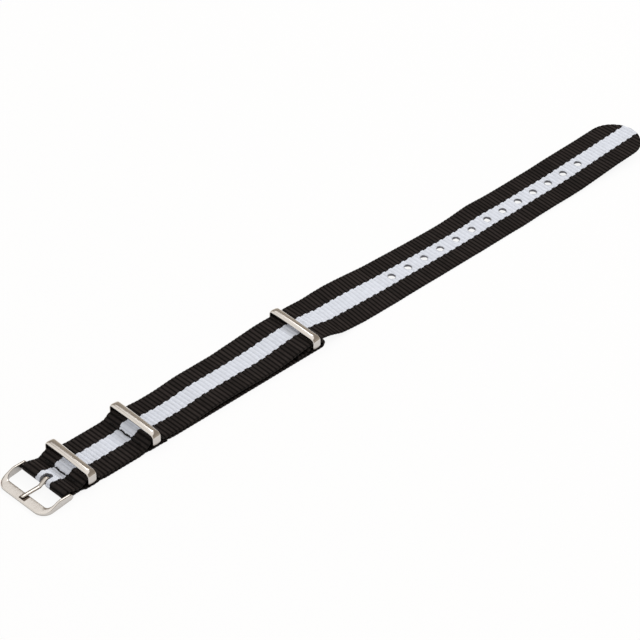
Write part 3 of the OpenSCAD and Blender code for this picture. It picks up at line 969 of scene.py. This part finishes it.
def webbing_material(name, *rims):
    """Striped webbing. rims holds the distances to the first hole and to the tip."""
    m = Material(name, Specular_IOR_Level=0.09)
    flat = m.shade(m.node("ShaderNodeUVMap", {"uv_map": "along"}), 1 / MM)
    along, across, _ = m.xyz(flat)
    ribs = along / RIB + 1e-5
    rib = ribs.floor()
    odd = (rib * 0.5).fract() * 2
    brick = across / PAD + odd * 0.5
    pad = brick.floor()
    white = ((pad + 0.5 - odd * 0.5) * PAD).abs().below(STRIPE_HALF)
    crest, dome, yarns = hump(ribs), hump(brick), hump(brick * 2)
    pad_own, rib_own = own(m, rib, pad, 0.0), own(m, rib, 0.5, 0.0)
    fibre = m.noise(m.stretched(flat, 1.2, 16.0, 1.0), 1.0, 4.0, 0.65)
    cloud = m.noise(m.stretched(flat, 0.08, 0.25, 1.0), 1.0, 2.0)
    # lit picks the crest's colour; towards the gaps between ribs the colour turns to painted shade.
    lit = crest.ramp(0.3, 1.0)
    black_by = 0.35 + rib_own * 0.55 + pad_own * 0.25 + fibre * 0.4 + cloud * 0.3
    white_by = 0.87 + pad_own * 0.06 + rib_own * 0.05 + fibre * 0.14
    black = m.shade(m.mix(lit, BLACK_IN_PAINTED_SHADE, BLACK), black_by)
    pale = m.shade(m.mix(crest.ramp(0.0, 0.45), WHITE_IN_PAINTED_SHADE, WHITE), white_by)
    colour = m.mix(white, black, pale)
    relief = dome * 0.3 + yarns * crest * 0.5 + fibre * 0.5
    rough = 0.66 - lit * 0.16 + fibre * 0.12
    if rims:
        melted = melted_rims(m, along, across, *rims)
        colour = m.shade(colour, 1 - melted * 0.25)
        relief = relief * (1 - melted * 0.7)
        rough = rough - melted * 0.2
    m.feed(Base_Color=colour, Roughness=rough, Normal=m.bump(relief, 0.06 * MM, 0.6))
    return m


def melted_wall_painted_shade():
    """The smooth wall of a punched hole, with the layers of yarn melted together and painted shade
    darkening it.
    """
    m = Material("melted_wall_painted_shade", Roughness=0.45)
    at = m.place()
    grain = m.noise(at, 4.0)
    layers = m.noise(m.stretched(at, 1.0, 1.0, 9.0), 1.0, 2.0)
    # Both colours are melted nylon darkened further as painted shade inside the holes.
    dark = m.mix(grain, (0.010, 0.010, 0.012), (0.030, 0.030, 0.034))
    pale = m.mix(grain, (0.16, 0.16, 0.19), (0.30, 0.31, 0.35))
    m.feed(Base_Color=m.mix(m.xyz(at)[1].abs().below(STRIPE_HALF), dark, pale),
           Normal=m.bump(layers, 0.05 * MM, 0.5))
    return m


striped = webbing_material("striped_webbing", main_route.reach(HOLE_X), main_route.length)
put_on(strap, striped, melted_wall_painted_shade())
put_on(flap, webbing_material("striped_webbing_flap"))

# %% [markdown]
# Melted nylon is smooth and darker than the yarn, and the walls' colour also holds painted shade inside
# the holes, so the punched walls take the second material. They are found by their place and by standing
# upright.

# %% Mark the punched walls
ROUND_NEAR, FLAT_NEAR, UPRIGHT = 0.02, 0.004, 0.2


def on_wall(x, y):
    """Whether a place is on the wall of a hole or of the slot."""
    hole = any(abs(math.hypot(x - HOLE_X - k * HOLE_PITCH, y) - HOLE_R) < ROUND_NEAR for k in range(HOLES))
    r = SLOT_W / 2
    past = x - SLOT_BACK + r
    side = past < r + ROUND_NEAR and abs(abs(y) - r) < FLAT_NEAR
    return hole or side or past > 0 and abs(math.hypot(past, y) - r) < ROUND_NEAR


walls = [p for p in strap.data.polygons if abs(p.normal.z) < UPRIGHT
         and on_wall(p.center.x / MM - PIN_X, p.center.y / MM)]
for p in walls:
    p.material_index, p.use_smooth = 1, False
print("punched wall faces:", len(walls))

# %% [markdown]
# The metal is nickel-plated steel, polished on a wheel: warm and pale, nearly a mirror, with very fine
# lines along the pieces, a faint haze in patches, and a few soft dents. Shade is painted into its colour:
# the sides are painted darker, the lower edges more so, the frame is darker near the floor, and the
# milled notch is painted dark. The surface's own direction tells the sides from the tops.

# %% Metal
SIDE_PAINTED_SHADE, LOWER_EDGE_PAINTED_SHADE = (0.71, 0.71, 0.71), (0.36, 0.32, 0.29)
NEAR_FLOOR_PAINTED_SHADE, NOTCH_PAINTED_SHADE = (0.48, 0.45, 0.41), (0.13, 0.10, 0.08)


# The mask for the notch's painted shade.
def in_notch(x, y, z):
    """1 on the milled faces of the notch, 0 elsewhere."""
    inside = (y - NOTCH_Y).abs().below(NOTCH_W / 2 + 0.02) * z.below(BAR_T - 0.04)
    return inside * (NOTCH_Z - 0.03 - z).below(0.0) * (PIN_X - NOTCH_X - 0.02 - x).below(0.0)


def nickel(name, lines, base=(0.85, 0.82, 0.79), rough=0.16, paint_frame_shade=False):
    """Polished metal. lines says how fine the polishing lines are along X, Y and Z."""
    def darker_base(by):
        return tuple(c * f for c, f in zip(base, by))

    m = Material(name, Metallic=1.0, Roughness=rough)
    at = m.place()
    hair = m.noise(m.stretched(at, *lines), 1.0, 4.0, 0.6)
    haze = m.noise(at, 0.35)
    dents = m.bump(m.noise(at, 0.8, 2.0), 0.1 * MM, 0.2)
    facing = m.xyz(m.node("ShaderNodeTexCoord", out="Normal"))[2]
    tint = m.mix(haze, base, darker_base((0.93, 0.92, 0.90)))
    # Painted shade: faces that turn to the side get a darker colour.
    tint = m.mix(facing.abs().ramp(0.2, 0.6), darker_base(SIDE_PAINTED_SHADE), tint)
    # Painted shade: faces that turn down get a darker, browner colour still.
    tint = m.mix(facing.ramp(-0.05, -0.4) * facing.ramp(-1.0, -0.8), tint, darker_base(LOWER_EDGE_PAINTED_SHADE))
    if paint_frame_shade:
        x, y, z = m.xyz(at)
        # Painted shade: the frame is darker where it comes near the floor.
        tint = m.mix(z.ramp(0.25, 0.6), NEAR_FLOOR_PAINTED_SHADE, tint)
        # Painted shade: the notch's faces are painted dark.
        tint = m.mix(in_notch(x, y, z), tint, NOTCH_PAINTED_SHADE)
    m.feed(Base_Color=tint, Roughness=rough - 0.05 + hair * 0.08 + haze * 0.06,
           Normal=m.bump(hair, 0.0015 * MM, 0.5, Normal=dents))
    return m


put_on(body, nickel("polished_nickel_frame", (0.8, 0.8, 18.0), paint_frame_shade=True))
put_on(prong, nickel("polished_nickel_tongue", (0.6, 20.0, 8.0), base=(0.73, 0.695, 0.66)))
ring_mat = nickel("polished_nickel_ring", (22.0, 0.5, 6.0), rough=0.12)
for ring in rings:
    put_on(ring, ring_mat)

# %% [markdown]
# The thread is black polyester. Its filaments are too fine to model, so they are a bump along the plies.

# %% Thread
def thread_material():
    """Black thread with fine filaments."""
    m = Material("black_thread", Roughness=0.55, Specular_IOR_Level=0.15)
    fibre = m.noise(m.stretched(m.place(), 14.0, 3.0, 14.0), 1.0)
    m.feed(Base_Color=m.mix(fibre, (0.004, 0.004, 0.004), (0.014, 0.012, 0.012)),
           Normal=m.bump(fibre, 0.03 * MM, 0.6))
    return m


thread_mat = thread_material()
for row in stitching:
    put_on(row, thread_mat)

# %% [markdown]
# The pin is right as a plain drawn wire, so its own solid stays and only takes a material. Every other
# piece rides on the body of the solid that it stands for.

# %% Hang every piece on its body
pin_mat = nickel("drawn_wire", (14.0, 0.5, 14.0), base=(0.72, 0.70, 0.67), rough=0.26)
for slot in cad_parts["buckle_pin"].material_slots:
    slot.material = pin_mat.mat
HUNG = [
    (strap, "main_strap", "webbing", "webbing"), (flap, "keeper_flap", "webbing", "webbing"),
    (body, "buckle_frame", "buckle", "nickel"), (prong, "buckle_tongue", "tongue", "nickel"),
    (rings[0], "first_keeper", "first_ring", "nickel"),
    (rings[1], "second_keeper", "second_ring", "nickel"),
    (rings[2], "flap_keeper", "third_ring", "nickel"),
    *[(row, f"stitch_row_{k}", "webbing", "thread") for k, row in enumerate(stitching, 1)],
]
for obj, node, owner, slot in HUNG:
    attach(obj, owner)
    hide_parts(node)
print(len(HUNG), "pieces ride on their bodies")

# %% [markdown]
# The strap is photographed from its buckle end, a little under forty degrees above the table, with a
# long lens. The camera's place and lens were fitted to the strap's edges, holes and keepers in the photo.

# %% Camera
EYE = (-0.42088, -0.47854, 0.51451)
RIGHT = (0.715926, -0.698176, 0.0)
UPWARD = (0.42536, 0.436232, 0.79295)
BACK = (-0.553641, -0.567672, 0.609286)
lens = bpy.data.cameras.new("camera")
lens.lens, lens.sensor_width, lens.sensor_fit, lens.clip_start = 148.9, 36.0, "HORIZONTAL", 0.01
lens.shift_x, lens.shift_y = -0.0008, 0.0009
camera = added("camera", lens)
camera.matrix_world = Matrix.Translation(EYE) @ Matrix((RIGHT, UPWARD, BACK)).transposed().to_4x4()
bpy.context.scene.camera = camera
print("the camera looks down at", round(math.degrees(math.asin(BACK[2])), 1), "degrees")

# %% [markdown]
# The floor is plain and nearly white. Its lit surface alone would come out grey, and stronger lamps
# would burn out the stripe. So the camera sees mostly a plain white glow, mixed with the lit surface,
# which keeps a soft contact shadow. Reflections see more of the lit surface, because the polished metal
# mirrors the shadow beside it.

# %% Floor
FLOOR_SIZE, FLOOR_Z = 4.0, -0.02 * MM
bm = bmesh.new()
bmesh.ops.create_grid(bm, x_segments=1, y_segments=1, size=FLOOR_SIZE)
bmesh.ops.translate(bm, vec=(0, 0, FLOOR_Z), verts=bm.verts)
floor = from_bmesh("floor", bm)
pale = Material("pale_floor", Base_Color=(0.9, 0.9, 0.9, 1.0), Roughness=0.9)
rays = pale.node("ShaderNodeLightPath").socket.node.outputs
KINDS = "Camera", "Glossy", "Transmission"
seen, mirrored, through = (Wire(pale, rays[f"Is {kind} Ray"]) for kind in KINDS)
glow = pale.node("ShaderNodeEmission", Color=(1.0, 1.0, 1.0, 1.0), Strength=1.0)
glowing = pale.node("ShaderNodeClamp", None, (seen + through) * 0.9 + mirrored * 0.4)
lit = Wire(pale, pale.surface.outputs[0])
pale.join(pale.node("ShaderNodeMixShader", None, glowing, lit, glow),
          pale.tree.nodes["Material Output"].inputs["Surface"])
put_on(floor, pale)

# %% [markdown]
# Polished metal mostly shows its surroundings, so the studio is a room: a bright ceiling, a bright wall
# behind the camera, and darker, warmer walls elsewhere, which the far sides of the domed bars mirror.
#
# The key lamp stands beyond the strap's tip, low enough to rake across the ribs. Its mirror image would
# be a hard white bar on every keeper, so glossy rays don't see it, and a second, far weaker lamp draws
# the highlights. Together they light a level surface so that its colour renders as written.

# %% Light
world = bpy.data.worlds.new("studio")
world.use_nodes = True
bpy.context.scene.world = world
air = Nodes(world.node_tree)
by_eye = air.node("ShaderNodeLightPath", out="Is Camera Ray")
ahead, across, up = air.xyz(air.node("ShaderNodeTexCoord", out="Generated"))
high = (up - 0.15 * across.ramp(0.45, 0.0)).ramp(0.68, 0.745)
dim = air.mix(up.ramp(0.3, 0.55), (0.37, 0.325, 0.275), (0.27, 0.235, 0.20))
wall = air.mix(ahead.ramp(-0.6, -0.1), (0.86, 0.83, 0.79), dim)
room = air.mix(by_eye, air.mix(high, wall, (0.93, 0.90, 0.87)), (1.0, 1.0, 1.0))
air.join(room, air.tree.nodes["Background"].inputs["Color"])
AIM = Vector((0.04, 0, 0))


def lamp(name, at, width, length, power, tint):
    """A soft box at a place, turned to AIM on the strap."""
    light = bpy.data.lights.new(name, "AREA")
    light.shape, light.size, light.size_y = "RECTANGLE", width, length
    light.energy, light.color = power, tint
    obj = added(name, light)
    turned = (AIM - Vector(at)).to_track_quat("-Z", "Y").to_matrix().to_4x4()
    obj.matrix_world = Matrix.Translation(at) @ turned
    print(name, "lamp of", power, "W,", round((AIM - Vector(at)).length, 2), "m away")
    return obj


lamp("key", (2.73, -0.7, 2.07), 0.9, 0.9, 71.0, (1.0, 0.985, 0.97)).visible_glossy = False
lamp("streak", (0.912, 0.86, 1.56), 0.6, 0.6, 2.2, (1.0, 0.985, 0.96))
bpy.context.scene.view_settings.view_transform = "Standard"
